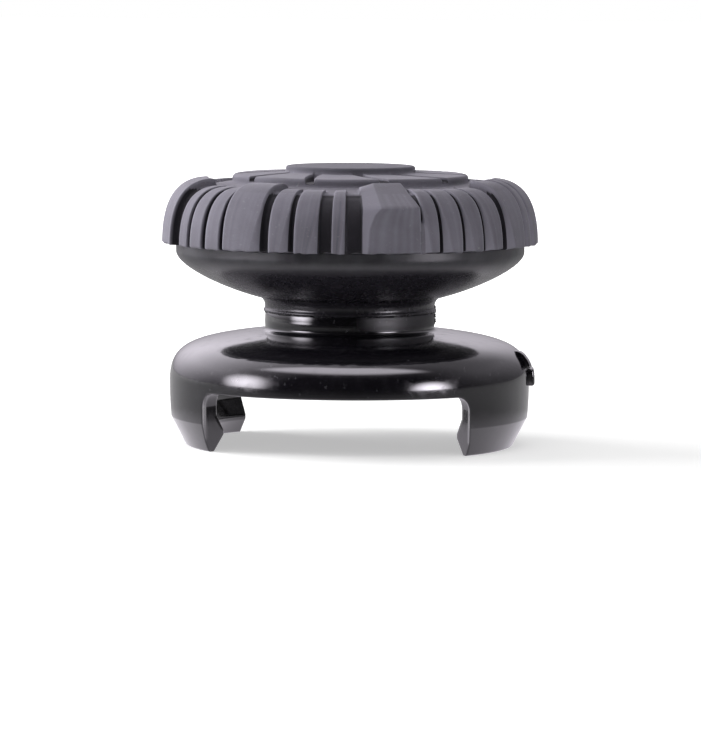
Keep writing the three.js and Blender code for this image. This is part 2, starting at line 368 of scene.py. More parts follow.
def base_section(settings):
    """The shell above the windows: from the lip over dome and neck, down the bore and out to the wall."""
    widest = settings.skirt_radius / MM
    wall = widest - settings.wall / MM
    neck = settings.neck_radius / MM
    seat = settings.seat_height / MM
    lip = settings.window_height / MM
    lower = np.concatenate([lip + ROUNDING_STEPS, np.linspace(lip + 0.15, SHOULDER_START, 4)])
    return profile(
        np.column_stack([skirt_radius_at(lower, settings), lower]),
        bezier((widest, SHOULDER_START), (widest, SHOULDER_PULL), DOME_PULL, DOME_FOOT, 40)[1:],
        straight(DOME_FOOT, (neck + 0.25, DOME_FOOT[1] + 0.04), 6)[1:],
        arc((neck + 0.24, DOME_FOOT[1] + 0.3), (0.26, 0.26), 270, 180, 6),
        [(neck, 7.42), (neck + 0.008, 7.55), (neck, 7.68), (neck - 0.008, 7.82), (neck - 0.012, 7.95)],
        arc((neck - 0.1, NECK_SEAM - 0.07), (0.07, 0.07), 0, 90, 3),
        straight((neck - 0.16, NECK_SEAM), (BORE + 0.1, NECK_SEAM), 3),
        [(BORE, NECK_SEAM - 0.1)],
        straight((BORE, NECK_SEAM - 0.2), (BORE, seat + 0.1), 5),
        [(BORE + 0.1, seat)],
        straight((BORE + 0.2, seat), (wall - SEAT_FILLET - 0.1, seat), 8),
        arc((wall - SEAT_FILLET, seat - SEAT_FILLET), (SEAT_FILLET, SEAT_FILLET), 90, 0, 8),
        np.column_stack([np.full(6, wall), lip + ROUNDING_STEPS[::-1]]),
    )


def clip_base_mesh(settings):
    """The shell is turned; each prong hangs from it as an outer, an inner, two cut sides and a tip."""
    lip = settings.window_height / MM
    heights = np.concatenate([
        ROUNDING_STEPS,
        PRONG_ROWS,
        lip - WINDOW_CORNER + WINDOW_CORNER * np.sin(np.linspace(0, np.pi / 2, 16)),
    ])[:, None]
    edge = ROUNDING_STEPS / PRONG_WIDTH
    across = np.concatenate([edge, PRONG_COLUMNS, 1 - edge[::-1]])[None, :]
    window = np.linspace(-1, 1, LIP_COLUMNS)[None, :]

    def rounded(radius, height, side):
        distance = rim_distance(prong_azimuth(radius, height, across, settings), radius, height, settings)
        return radius + side * rounding(distance, RIM_ROUNDING)

    outer = rounded(skirt_radius_at(heights, settings), heights, -1)
    inner = rounded(hook_radius_at(heights, settings), heights, 1)
    outer_lip = skirt_radius_at(np.array(lip), settings) - RIM_ROUNDING
    inner_lip = (settings.skirt_radius - settings.wall) / MM + RIM_ROUNDING
    prong_outer = turned(outer, heights, prong_azimuth(outer, heights, across, settings))
    prong_inner = turned(inner, heights, prong_azimuth(inner, heights, across, settings))
    lip_radius = through_wall(outer_lip, inner_lip, settings)[:, None]
    lip_strip = turned(lip_radius, lip, window * side_azimuth(lip_radius, lip, settings))
    tip = through_wall(outer[0], inner[0], settings).T
    patches = [
        prong_outer,
        prong_inner,
        lip_strip,
        turned(tip, 0.0, prong_azimuth(tip, 0.0, across, settings)),
    ]
    for column, side in ((0, 0.0), (-1, 1.0)):
        cut = through_wall(outer[:, column], inner[:, column], settings)
        patches.append(turned(cut, heights, prong_azimuth(cut, heights, side, settings)))

    # The shell's first and last rows are the rims of the patches, so that they share their points
    half_turn = np.array([-1.0, -1.0, 1.0])
    rims = []
    for strip_row, prong in ((0, prong_outer), (-1, prong_inner)):
        half = np.concatenate([lip_strip[strip_row, :-1], prong[-1, :-1]])
        rims.append(np.concatenate([half, half * half_turn]))
    section = base_section(settings)
    rim_azimuth = [np.unwrap(np.arctan2(rim[:, 0], -rim[:, 1])) for rim in rims]
    rows = len(section)
    turn = smooth_step(0.3, 0.9, np.arange(rows) / (rows - 1))[:, None]
    azimuth = rim_azimuth[0] * (1 - turn) + rim_azimuth[1] * turn
    radius, height = section[:, :1], section[:, 1:]
    inward = np.where(np.arange(rows)[:, None] < rows / 2, -1.0, 1.0)
    near_lip = rounding(rim_distance(azimuth, radius, height, settings), RIM_ROUNDING) * (height < lip + 0.2)
    shell = turned(radius + inward * near_lip, height, azimuth)
    shell[0], shell[-1] = rims

    points = [shell.reshape(-1, 3)]
    faces = [grid_faces(rows, azimuth.shape[1])]
    for turn_factor in (1.0, half_turn):
        for patch in patches:
            faces.append(grid_faces(*patch.shape[:2], wrap_columns=False, start=sum(map(len, points))))
            points.append(patch.reshape(-1, 3) * turn_factor)
    return np.vstack(points), np.vstack(faces)


# Index bars on the skirt: first and last azimuth, bottom and top
BAR_PROUD = 0.35
BAR_ROOT = 0.5
BAR_SQUARENESS = 0.28
BAR_END_SQUARENESS = 24
BAR_HEIGHT_LIMIT = 6.5
INDEX_BARS = ((89.5, 102, 3.7, 4.78), (84.5, 89, 4.84, 5.9))


def index_bar_mesh(bar, settings):
    """A short bar: a superellipse section swept round the skirt, shrinking fast to a point at each end."""
    first, last, low, high = bar
    turn = full_turn(48)[:, None]
    sweep = np.sin(np.linspace(-np.pi / 2, np.pi / 2, 61))[None, :]
    taper = (1 - np.abs(sweep) ** BAR_END_SQUARENESS) ** (1 / 4)
    out = np.sign(np.cos(turn)) * np.abs(np.cos(turn)) ** BAR_SQUARENESS
    up = np.sign(np.sin(turn)) * np.abs(np.sin(turn)) ** BAR_SQUARENESS
    height = (low + high) / 2 + (high - low) / 2 * up * taper
    section = base_section(settings)
    rising = section[: int(np.argmax(section[:, 1] > BAR_HEIGHT_LIMIT))]
    skirt = np.interp(height, rising[:, 1], rising[:, 0])
    depth = (BAR_PROUD + BAR_ROOT) / 2
    radius = skirt + BAR_PROUD - depth + depth * out * taper
    azimuth = np.radians((first + last) / 2 + (last - first) / 2 * sweep) + 0 * turn
    grid = turned(radius, height, azimuth)
    return grid.reshape(-1, 3), grid_faces(*azimuth.shape, wrap_rows=True, wrap_columns=False)


def joined(parts):
    """Stacks (points, faces) pairs into one pair, moving each part's vertex numbers past those before it."""
    starts = np.cumsum([0] + [len(points) for points, faces in parts[:-1]])
    return (
        np.vstack([points for points, faces in parts]),
        np.vstack([faces + start for (points, faces), start in zip(parts, starts)]),
    )


# Carrier dish
PEG_RADIUS = 3.8
THROAT_TOP = 8.5
BELLY_PULL = (7.7, 9.6)
FLANK_PULL = 10.9
RIM_HEIGHT = 11.84
PLATFORM_SHOULDER = 13.6
PLATFORM_HEIGHT = 15.05
PLATFORM_RADIUS = 8.5
SEAM_LIP = 0.09
FLASH_AZIMUTH = 93
DISH_COLUMNS = 360
FLASH_COLUMNS = 720
FLASH_ROUND = 12
FLASH_ROOT = 0.1
FIN_BOTTOM = NECK_SEAM - 0.75
FIN_HEIGHT = 1.15
FIN_ROOT = 0.08
FIN_THICKNESS = 0.03


def dish_section(settings, neck):
    """From the peg's end over the seam lip, throat, belly and rim to the platform, as (radius, height)."""
    fillet = settings.throat_fillet / MM
    core = DISH_RADIUS - settings.ledge / MM
    return profile(
        [(0, PEG_END), (2, PEG_END), (PEG_RADIUS - 0.15, PEG_END), (PEG_RADIUS, PEG_END + 0.15)],
        [(PEG_RADIUS, 6.5), (PEG_RADIUS, NECK_SEAM - 0.1), (PEG_RADIUS + 0.1, NECK_SEAM + 0.01)],
        straight((PEG_RADIUS + 0.3, NECK_SEAM + 0.01), (neck + SEAM_LIP - 0.05, NECK_SEAM + 0.01), 3),
        [(neck + SEAM_LIP, NECK_SEAM + 0.05), (neck + SEAM_LIP, NECK_SEAM + 0.12)],
        [(neck + 0.02, NECK_SEAM + 0.2), (neck, NECK_SEAM + 0.27)],
        arc((neck + fillet, THROAT_TOP), (fillet, fillet), 180, 96, 12),
        bezier((neck + fillet, THROAT_TOP + fillet), BELLY_PULL, (DISH_RADIUS, FLANK_PULL),
               (DISH_RADIUS, RIM_HEIGHT), 48),
        straight((DISH_RADIUS, RIM_HEIGHT + 0.1), (DISH_RADIUS, TREAD_SEAT - 0.08), 4),
        arc((DISH_RADIUS - 0.06, TREAD_SEAT - 0.06), (0.06, 0.06), 0, 90, 3),
        straight((DISH_RADIUS - 0.12, TREAD_SEAT), (core + 0.05, TREAD_SEAT), 2),
        [(core, TREAD_SEAT + 0.05), (core, PLATFORM_SHOULDER - 0.05)],
        straight((core - 0.05, PLATFORM_SHOULDER), (PLATFORM_RADIUS + 0.05, PLATFORM_HEIGHT - 0.05), 4),
        [(PLATFORM_RADIUS, PLATFORM_HEIGHT), (4, PLATFORM_HEIGHT), (0, PLATFORM_HEIGHT)],
    )


def dish_mesh(settings, neck):
    """The section turned round the axis, its flank a hundredth out of round as a moulding is."""
    section = dish_section(settings, neck)
    azimuth = full_turn(DISH_COLUMNS)[None, :]
    radius, height = section[:, :1], section[:, 1:]
    flank = smooth_step(8.6, 9.4, height) * (1 - smooth_step(11.9, 12.3, height))
    wobble = 0.01 * ripple(azimuth[0], 5, 1)[None, :] * flank
    grid = turned(radius + wobble, height, azimuth + 0 * radius)
    return grid.reshape(-1, 3), grid_faces(len(section), DISH_COLUMNS)


def seam_flash_mesh(settings, neck):
    """A thin ragged ring in the seam: a flattened tube whose reach is a rippled share of the greatest."""
    azimuth = full_turn(FLASH_COLUMNS)[None, :]
    ragged = 0.5 + 0.35 * ripple(azimuth[0], 11, 3) + 0.3 * ripple(azimuth[0], 12, 8)
    reach = settings.flash / MM * np.clip(ragged, 0.0, 1.0)[None, :]
    turn = full_turn(FLASH_ROUND)[:, None]
    waver = 0.02 * ripple(azimuth[0], 13, 2)[None, :]
    radius = neck - FLASH_ROOT + (FLASH_ROOT + reach) * (0.5 + 0.5 * np.cos(turn))
    height = NECK_SEAM + waver + 0.035 * np.sin(turn)
    grid = turned(radius, height, azimuth + 0 * turn)
    return grid.reshape(-1, 3), grid_faces(*radius.shape, wrap_rows=True)


def parting_flash_mesh(settings, neck):
    """A thin upright fin where two mould halves met: a flattened tube whose reach ripples with the height."""
    along = np.linspace(0, 1, 61)[:, None]
    turn = full_turn(FLASH_ROUND)[None, :]
    taper = (1 - np.abs(2 * along - 1) ** 6) ** 0.5
    ragged = np.clip(0.6 + 0.4 * ripple(along[:, 0] * 6, 21, 2), 0.1, 1.0)[:, None]
    reach = settings.flash / MM * ragged * taper
    height = FIN_BOTTOM + FIN_HEIGHT * along
    throat = np.interp(height, [0, THROAT_TOP, THROAT_TOP + 0.2], [neck, neck, neck + 0.05])
    root = FIN_ROOT * taper
    radius = throat - root + (root + reach) * (0.5 + 0.5 * np.cos(turn))
    azimuth = math.radians(FLASH_AZIMUTH) + FIN_THICKNESS * taper * np.sin(turn) / neck
    grid = turned(radius, height + 0 * turn, azimuth)
    return grid.reshape(-1, 3), grid_faces(*radius.shape)


# Rubber tread: heights are measured up from its seat on the dish. Pairs are a radius and a height.
SHOULDER_BELLY = 1.9
SHOULDER_KNEE = (11.0, 3.65)
SHOULDER_TOP = (8.9, 3.66)
SLOT_TOP = (9.35, 3.26)
BAND_EDGE = (8.9, 3.44)
BAND_TOP = (7.35, 3.7)
RING_HEIGHT = 4.2
RING_BEVEL = 0.2
HUB_FOOT = 4.34
BOND_GAP = 0.06
CEILING = 2.71
TREAD_COLUMNS = 900

# The ragged and rounded bottom edge
TREAD_EDGE = 0.1
EDGE_ROWS = 12
EDGE_RAGGED = 0.035
EDGE_RAGGED_MOST = 0.09

# Grooves of the ring: azimuth of the first, width, floor, inner end and lean in degrees over a span of radii
GROOVE_START = 17.8
GROOVE_WIDTH = 0.5
GROOVE_FLOOR = 3.9
GROOVE_INNER = 3.45
GROOVE_SKEW = 14
LEAN_OUTER = 7.85
LEAN_MIDDLE = 5.65
LEAN_SPAN = 4.4

# Lugs: how far each kind stands over the shoulder, their sloped flanks and the steep walls under the facets
REACH_RAISE = 0.3
FIN_RAISE = 0.38
CREST_LIFT = 0.01
LUG_OFFSET = 0.02
LUG_ROOT_FLARE = 0.04
LUG_FLANK_SHARE = 0.4
LUG_FLANK_TOP = 2.5
BLOCK_FLANK_HEIGHTS = (0.0, 1.5, 2.3, 2.7)
BLOCK_FLANK = (0.3, 0.42, 0.75, 1.15)
WALL_WIDTH = 0.05
FACE_INSET = 0.07

# Gaps between lugs: degrees to a column, and the gap in degrees and the heights that a web fills
GAP_STEP = 0.8
GAP_COLUMNS_MOST = 6
WEB_GAP = 1.2
WEB_TOP = (1.5, 2.3)

# The mesh's own attributes: up to which height slots get painted shade and faces streaked, the grooves'
# painted shade, and the lesser painted edge highlight
SLOT_SHADE_TOP = 3.4
GROOVE_SHADE = 0.8
STREAK_ROW = 20
STREAK_TOP = 3.5
LESSER_HIGHLIGHT = 0.4

# Columns from a groove's middle to its floor's edge and over its wall, and how deep the groove is there
GROOVE_COLUMNS = (0, 6, 8, 10)
GROOVE_SINK = (1.0, 0.97, 0.12, 0.0)

# Half a turn of the shoulder in degrees, as pitches: the gap before its wide lug, the wide lug's kind and
# width, the narrow lugs' kind, each narrow lug's gap and width, and the way that the sloped flanks face.
SHOULDER_START_AZIMUTH = -83.6
SHOULDER_PITCHES = (
    (0.0, "fin", 18.7, "plain", ((7.9, 4.7), (2, 5.6), (2.1, 5.7)), 0),
    (2.0, "reach", 13.0, "plain", ((3.3, 6.1), (2, 7.2), (4.2, 4)), 1),
    (5.0, "block", 18.2, "plain", ((1.1, 4.8), (1.6, 6.5), (1.8, 6.3), (1.8, 6.9)), -1),
    (3.9, "fin", 9.7, "fin", ((1.9, 3.7), (2.1, 7), (2, 5.2)), -1),
)

# Stations up the shoulder, from the bottom edge at 0 to the band at 1, then across the band from 0 to 1
RISE = np.concatenate([
    [0, 0.0012, 0.004, 0.008, 0.014, 0.022, 0.04, 0.07],
    np.linspace(0.1, 0.48, 11),
    np.linspace(0.5, 0.6, 6),
    np.linspace(0.63, 0.83, 7),
    np.linspace(0.85, 0.93, 5),
    [0.965, 1.0],
])
CROSSING = np.concatenate([np.linspace(0.06, 0.72, 10), np.linspace(0.76, 1.0, 6)])

# Across one flank of a lug: share of its steep wall and of the facet over it, share of the lug's height, and
# how much painted shade darkens the slot there. The facet is the part of the flank that a sloped side widens.
WALL_SHARE = np.array([0.0, 0.5, 1.0, 1.0, 1.0])
FACET_SHARE = np.array([0.0, 0.0, 0.03, 0.12, 1.0])
FLANK_LIFT = np.array([0.0, 0.32, 0.56, 0.6, 0.985])
FLANK_SHADE = np.array([1.0, 1.0, 0.9, 0.0, 0.0])
STEEP_SHADE = np.array([1.0, 1.0, 1.0, 0.9, 0.2])


def shoulder_lugs():
    """Every lug as (kind, first azimuth, last azimuth, flank): the half turn of pitches, twice.

    Only the first half turn has fins, and in the second one plain lugs take their place.
    """
    lugs = []
    for half_turn in (0, 180):
        azimuth = SHOULDER_START_AZIMUTH + half_turn
        for gap, first, wide, rest, narrow, flank in SHOULDER_PITCHES:
            for kind, before, width in ((first, gap, wide), *((rest, b, w) for b, w in narrow)):
                kind_here = "plain" if half_turn and kind == "fin" else kind
                lugs.append((kind_here, azimuth + before, azimuth + before + width, flank))
                azimuth += before + width
    return lugs


def shoulder_curve(depth, end):
    """The shoulder sunk by a depth: a cubic curve from the bottom edge over the knee, read at RISE."""
    foot = TREAD_RADIUS - depth
    knee = (SHOULDER_KNEE[0] - depth, SHOULDER_KNEE[1] - depth / 2)
    return cubic(((foot, 0.0), (foot, SHOULDER_BELLY), knee, end), RISE)


def at_stations(stations, knots):
    """A broken line through (station, radius, height) knots, read off at the stations."""
    where, radius, height = np.array(knots, dtype=float).T
    return np.column_stack([np.interp(stations, where, radius), np.interp(stations, where, height)])


def inner_end(top):
    """A lug's crest across the band, which ends in a rounded step down to it."""
    step = [(0, 8.9, top), (0.1, 8.74, top), (0.16, 8.66, top - 0.05), (0.22, 8.62, top - 0.13)]
    return at_stations(CROSSING, [*step, (0.34, 8.56, 3.497), (1, *BAND_TOP)])


def lug_curves(settings):
    """Outer line of each kind of lug and of the slot floor, over the rise and then across the band."""
    plain = shoulder_curve(0.0, SHOULDER_TOP)
    lift = RISE[:, None] * np.array([0.0, 1.0])
    sunk = shoulder_curve(settings.slot_depth / MM, SLOT_TOP)
    ridge = shoulder_curve(0.0, BAND_EDGE)
    fade = 1 - smooth_step(0.86, 0.93, RISE)[:, None]
    band = at_stations(CROSSING, [(0, *BAND_EDGE), (1, *BAND_TOP)])
    reach_end = [(0, 8.9, 3.96), (0.5, 8.15, 3.93), (0.62, 7.98, 3.88), (0.7, 7.84, 3.65), (1, *BAND_TOP)]
    block_face = [(0, 11.5, 0), (0.48, 11.22, 2.5), (0.54, 11.17, 2.68), (0.6, 11.02, 2.79)]
    block_top = [(0.965, 8.3, 3.93), (1, 8.1, 4.0)]
    block_end = [(0, 8.05, 4.03), (0.3, 7.95, 4.0), (0.6, 7.82, 3.7), (1, *BAND_TOP)]
    return {
        "floor": profile(ridge + (sunk - ridge) * fade, band),
        "plain": profile(plain, inner_end(SHOULDER_TOP[1] + CREST_LIFT)),
        "reach": profile(plain + REACH_RAISE * lift, at_stations(CROSSING, reach_end)),
        "fin": profile(plain + FIN_RAISE * lift, inner_end(SHOULDER_TOP[1] + FIN_RAISE + CREST_LIFT)),
        "block": profile(at_stations(RISE, block_face + block_top), at_stations(CROSSING, block_end)),
    }


def flank_drop(kind, width, height, settings):
    """How far a sloped flank eats into the face: most at the foot, or for the block most at its top."""
    if kind == "block":
        return np.interp(height, BLOCK_FLANK_HEIGHTS, BLOCK_FLANK)
    most = min(settings.flank_drop / MM, math.radians(width) * TREAD_RADIUS * LUG_FLANK_SHARE)
    return most * np.clip(1 - height / LUG_FLANK_TOP, 0.0, 1.0)


def degrees_round(length):
    """The angle in degrees that a length takes up on the tread's rim."""
    return np.degrees(length / TREAD_RADIUS)


def lug_block(lug, before, after, columns, curve, floor, settings):
    """Azimuth, radius, height, painted slot shade and painted edge highlight of one lug and of the gap before
    it.

    Each flank is a broken line from the slot's floor to the face, and a sloped one widens towards the foot.
    Low down, a web fills a narrow gap between two lugs.
    """
    kind, first, last, flank = lug
    flare, wall, inset = (degrees_round(length) for length in (LUG_ROOT_FLARE, WALL_WIDTH, FACE_INSET))
    root_low = max(first - flare, (before + first) / 2)
    root_high = min(last + flare, (last + after) / 2)
    previous_root = min(before + flare, (before + first) / 2)
    flank_columns = len(FLANK_LIFT)
    gap_columns = int(np.clip(round((root_low - previous_root) / GAP_STEP), 1, GAP_COLUMNS_MOST))
    face_columns = columns - gap_columns - 2 * flank_columns - 1

    drop = degrees_round(flank_drop(kind, last - first, curve[:, 1], settings))[:, None]
    face_low = first + (drop if flank < 0 else 0 * drop)
    face_high = last - (drop if flank > 0 else 0 * drop)
    gap = np.linspace(previous_root, root_low, gap_columns + 1)[None, 1:] + 0 * drop
    rising = root_low + wall * WALL_SHARE[None, 1:] + (face_low - root_low - wall) * FACET_SHARE[None, 1:]
    face = (face_low + inset) + (face_high - face_low - 2 * inset) * np.linspace(0, 1, face_columns + 2)
    falling = (root_high - wall * WALL_SHARE - (root_high - wall - face_high) * FACET_SHARE)[:, ::-1]
    azimuth = np.hstack([gap, rising, face, falling])

    gap_ones = np.ones(gap_columns)
    face_ones = np.ones(face_columns + 2)
    share = np.concatenate([0 * gap_ones, FLANK_LIFT[1:], face_ones, FLANK_LIFT[::-1]])
    # Painted shade in the slot on each side, fading up the flank to nothing on the face
    rising_shade = FLANK_SHADE if flank < 0 else STEEP_SHADE
    falling_shade = FLANK_SHADE if flank > 0 else STEEP_SHADE
    dark = np.concatenate([gap_ones, rising_shade[1:], 0 * face_ones, falling_shade[::-1]])
    # Painted highlight along the lug's edges, fullest on the facets that face the left-hand key light
    facet_highlight = 1.0 if flank < 0 else LESSER_HIGHLIGHT
    rising_highlight = [0, facet_highlight, facet_highlight, 1, LESSER_HIGHLIGHT]
    falling_highlight = [LESSER_HIGHLIGHT, 1, LESSER_HIGHLIGHT, LESSER_HIGHLIGHT, 0, 0]
    highlight = np.concatenate([0 * gap_ones, rising_highlight, np.zeros(face_columns), falling_highlight])

    column = np.arange(columns)
    web_before = (before + WEB_GAP > first) * (column < gap_columns + flank_columns - 1)
    web_after = (last + WEB_GAP > after) * (column > columns - flank_columns - 1)
    webbed = (1.0 - smooth_step(*WEB_TOP, curve[:, 1:])) * (web_before + web_after)
    share = np.maximum(share + 0 * drop, webbed)
    dark = dark * (1 - webbed)
    radius = floor[:, :1] + share * (curve[:, :1] - floor[:, :1])
    height = floor[:, 1:] + share * (curve[:, 1:] - floor[:, 1:])
    return np.stack([np.radians(azimuth), radius, height, dark, highlight + 0 * drop])


def shoulder_grid(settings):
    """Azimuth, radius, height, painted slot shade and painted edge highlight over the whole shoulder and the
    band.

    Each lug is out by up to two hundredths of its own. That and its painted edge highlight settle to nothing
    on the band.
    """
    curves = lug_curves(settings)
    lugs = shoulder_lugs()
    rng = np.random.default_rng(31)
    settle = np.concatenate([np.ones(len(RISE)), 1 - smooth_step(0.1, 0.34, CROSSING)])[:, None]
    ends = np.array([last for kind, first, last, flank in lugs])
    marks = np.round((ends - ends[-1] + 360) / 360 * TREAD_COLUMNS).astype(int)
    before = np.concatenate([[ends[-1] - 360], ends[:-1]])
    after = [first for kind, first, last, flank in lugs[1:]] + [lugs[0][1] + 360]
    blocks = []
    for lug, low, high, columns in zip(lugs, before, after, np.diff(marks, prepend=0)):
        curve = curves[lug[0]] + rng.uniform(-LUG_OFFSET, LUG_OFFSET, size=2) * settle
        block = lug_block(lug, low, high, int(columns), curve, curves["floor"], settings)
        block[-1] *= settle
        blocks.append(block)
    return np.concatenate(blocks, axis=2)


def groove_columns(settings):
    """For every column of the ring, its signed number of columns from the nearest groove, and that groove."""
    period = TREAD_COLUMNS // settings.ring_grooves
    index = np.arange(TREAD_COLUMNS) + period // 2
    return index % period - period // 2, index // period


def ring_azimuth(radius, settings):
    """Azimuth of each column on the ring: columns gather at a groove's walls and lean with the grooves.

    Inside the grooves' inner ends the columns keep their azimuths, so that they run straight to the axis.
    """
    pitch = 2 * np.pi / settings.ring_grooves
    offset, number = groove_columns(settings)
    reach = max(radius, GROOVE_INNER)
    half = GROOVE_WIDTH / 2 / reach
    edge = 0.05 / reach
    columns = [*GROOVE_COLUMNS, TREAD_COLUMNS // settings.ring_grooves / 2]
    away = np.interp(np.abs(offset), columns, [0, half, half + edge, half + 2 * edge, pitch / 2])
    lean = math.radians(GROOVE_SKEW) * (np.clip(radius, GROOVE_INNER, LEAN_OUTER) - LEAN_MIDDLE) / LEAN_SPAN
    return number * pitch + np.sign(offset) * away + lean


def ring_sections(settings):
    """The ring's wall and top, the hub's wall and top, down to the axis, as (radius, height)."""
    ring = settings.ring_radius / MM
    hub = settings.hub_radius / MM
    top = GRIP_TOP - TREAD_SEAT
    return profile(
        [(ring + 0.07, BAND_TOP[1] + 0.01), (ring + 0.02, BAND_TOP[1] + 0.05), (ring, BAND_TOP[1] + 0.14)],
        [(ring, GROOVE_FLOOR + 0.04), (ring, RING_HEIGHT - RING_BEVEL)],
        arc((ring - RING_BEVEL, RING_HEIGHT - RING_BEVEL), (RING_BEVEL, RING_BEVEL), 18, 90, 4),
        straight((ring - RING_BEVEL - 0.15, RING_HEIGHT + 0.01), (hub + 0.2, HUB_FOOT - 0.01), 7),
        [(hub + 0.07, HUB_FOOT), (hub + 0.02, HUB_FOOT + 0.03), (hub, HUB_FOOT + 0.1), (hub, top - 0.2)],
        arc((hub - 0.15, top - 0.2), (0.15, 0.15), 18, 90, 4),
        [(hub - 0.25, top - 0.045), (3.1, top - 0.035), (2.2, top - 0.02)],
        [(1.2, top - 0.006), (0.4, top), (0, top)],
    )


def under_sections(ledge):
    """The underside from the bottom edge inwards, up the inner wall and over the ceiling to the axis."""
    core = DISH_RADIUS - ledge + BOND_GAP
    return profile(
        [(core + 0.3, 0.0), (core + 0.05, 0.0), (core, 0.05), (core, PLATFORM_SHOULDER - TREAD_SEAT)],
        [(PLATFORM_RADIUS + 2 * BOND_GAP, CEILING), (4.0, CEILING), (0.0, CEILING)],
    )


def tread_mesh(settings, ledge):
    """One closed grid: ceiling and underside, shoulder with lugs, band, grooved ring and hub."""
    azimuth, radius, height, dark, highlight = shoulder_grid(settings)
    shift = np.argmin(np.abs(azimuth[0] - math.radians(GROOVE_START)))
    drawn = np.roll(np.arange(TREAD_COLUMNS), shift)
    rows = len(RISE) + len(CROSSING)
    ring_rows = ring_sections(settings)
    under = under_sections(ledge)[::-1]

    def aligned(values):
        turned_by = values[drawn] + math.radians(GROOVE_START)
        return turned_by - np.where(np.arange(TREAD_COLUMNS) < shift, 2 * np.pi, 0.0)

    # Across the band the lugs' columns move over to those of the ring
    inner = aligned(ring_azimuth(BAND_TOP[0], settings))
    blend = np.concatenate([np.zeros(len(RISE)), smooth_step(0.7, 1.0, CROSSING)])[:, None]
    azimuth = azimuth * (1 - blend) + inner[None, :] * blend
    radius = radius - rounding(height, TREAD_EDGE) * (np.arange(rows) < EDGE_ROWS)[:, None]
    ragged = EDGE_RAGGED * (1 + ripple(azimuth[:1], 43, 12)) * (1 - smooth_step(0.0, 0.5, height))
    height = height + np.clip(ragged, 0.0, EDGE_RAGGED_MOST)

    # The grooves are sunk into the ring outside the hub
    ring_azimuths = np.stack([aligned(ring_azimuth(r, settings)) for r in ring_rows[:, 0]])
    offset = np.abs(groove_columns(settings)[0])[drawn]
    cut = np.interp(offset, GROOVE_COLUMNS, GROOVE_SINK)[None, :]
    ring_radius, ring_height = ring_rows[:, :1], ring_rows[:, 1:]
    hub = settings.hub_radius / MM
    on_ring = (ring_radius > hub + 0.02) * (ring_height > GROOVE_FLOOR)
    sink = cut * np.maximum(ring_height - GROOVE_FLOOR, 0) * (ring_radius > hub + 0.005)

    flat = 0 * azimuth[:1]
    full = np.vstack([azimuth[:1] + 0 * under[:, :1], azimuth, ring_azimuths])
    radii = np.vstack([under[:, :1] + flat, radius, ring_radius + flat])
    heights = np.vstack([under[:, 1:] + flat, height, ring_height - sink])
    outside = np.concatenate([np.zeros(len(under)), np.ones(rows + len(ring_rows))])[:, None]
    wave = 0.012 * ripple(full, 41, 1) * np.minimum(radii / 6, 1)
    radii = radii + wave * outside * (radii > 6)
    swell = 0.01 * ripple(full + 1.0, 42, 1) * smooth_step(2.5, 3.5, heights)
    heights = heights + swell * outside * (radii > 4)

    blank_under = 0 * under[:, :1] + flat
    # Painted shade in the ring's grooves and the lugs' slots, and a painted highlight on the lugs' edges,
    # kept on the mesh
    groove_shade = GROOVE_SHADE * (cut > 0.5) * on_ring
    attributes = {
        "slot_depth": np.vstack([blank_under, dark * (height < SLOT_SHADE_TOP), groove_shade]),
        "edge_highlight": np.vstack([blank_under, highlight, 0 * groove_shade]),
        "streak": (0.2 + 0.13 * ripple(azimuth[STREAK_ROW], 51, 30))[None, :] * (heights < STREAK_TOP),
    }
    grid = turned(radii, heights + TREAD_SEAT, full)
    return grid.reshape(-1, 3), grid_faces(*full.shape), attributes


def new_material(name, colour):
    """A material with a Principled shader of the colour, and the shader for its other values."""
    material = bpy.data.materials.new(name)
    material.use_nodes = True
    shader = material.node_tree.nodes["Principled BSDF"]
    shader.inputs["Base Color"].default_value = (*colour, 1.0)
    return material, material.node_tree, shader


def cleared_tree(owner):
    """The empty node tree of a material or a world."""
    owner.use_nodes = True
    owner.node_tree.nodes.clear()
    return owner.node_tree


def feed(tree, value, slot):
    """Puts a value into an input: another node's socket, a number, or a colour of three numbers."""
    if isinstance(value, bpy.types.NodeSocket):
        tree.links.new(value, slot)
    elif slot.type == "RGBA":
        slot.default_value = (*value, 1.0)
    else:
        slot.default_value = value


def object_noise(tree, scale, detail=3.0, roughness=0.55, distortion=0.0):
    """Noise on Object coordinates, its scale in waves to the metre. Gives back the socket of its value."""
    coordinates = tree.nodes.new("ShaderNodeTexCoord")
    noise = tree.nodes.new("ShaderNodeTexNoise")
    values = {"Scale": scale, "Detail": detail, "Roughness": roughness, "Distortion": distortion}
    for key, value in values.items():
        noise.inputs[key].default_value = value
    tree.links.new(coordinates.outputs["Object"], noise.inputs["Vector"])
    return noise.outputs["Fac"]


def remap(tree, value, source, target):
    """Moves a value from one range to another and keeps it within that."""
    node = tree.nodes.new("ShaderNodeMapRange")
    tree.links.new(value, node.inputs["Value"])
    for key, number in zip(("From Min", "From Max", "To Min", "To Max"), (*source, *target)):
        node.inputs[key].default_value = number
    return node.outputs["Result"]


def between(tree, share, low, high):
    """Goes from low to high as a share goes from 0 to 1."""
    return remap(tree, share, (0.0, 1.0), (low, high))


def axes_of(tree, space):
    """X, Y and Z: in metres on a piece for the space Object, of the direction in the world for Generated."""
    coordinates = tree.nodes.new("ShaderNodeTexCoord")
    parts = tree.nodes.new("ShaderNodeSeparateXYZ")
    tree.links.new(coordinates.outputs[space], parts.inputs["Vector"])
    return parts.outputs


def attribute(tree, name):
    """A value kept on the mesh's points."""
    node = tree.nodes.new("ShaderNodeAttribute")
    node.attribute_name = name
    return node.outputs["Fac"]


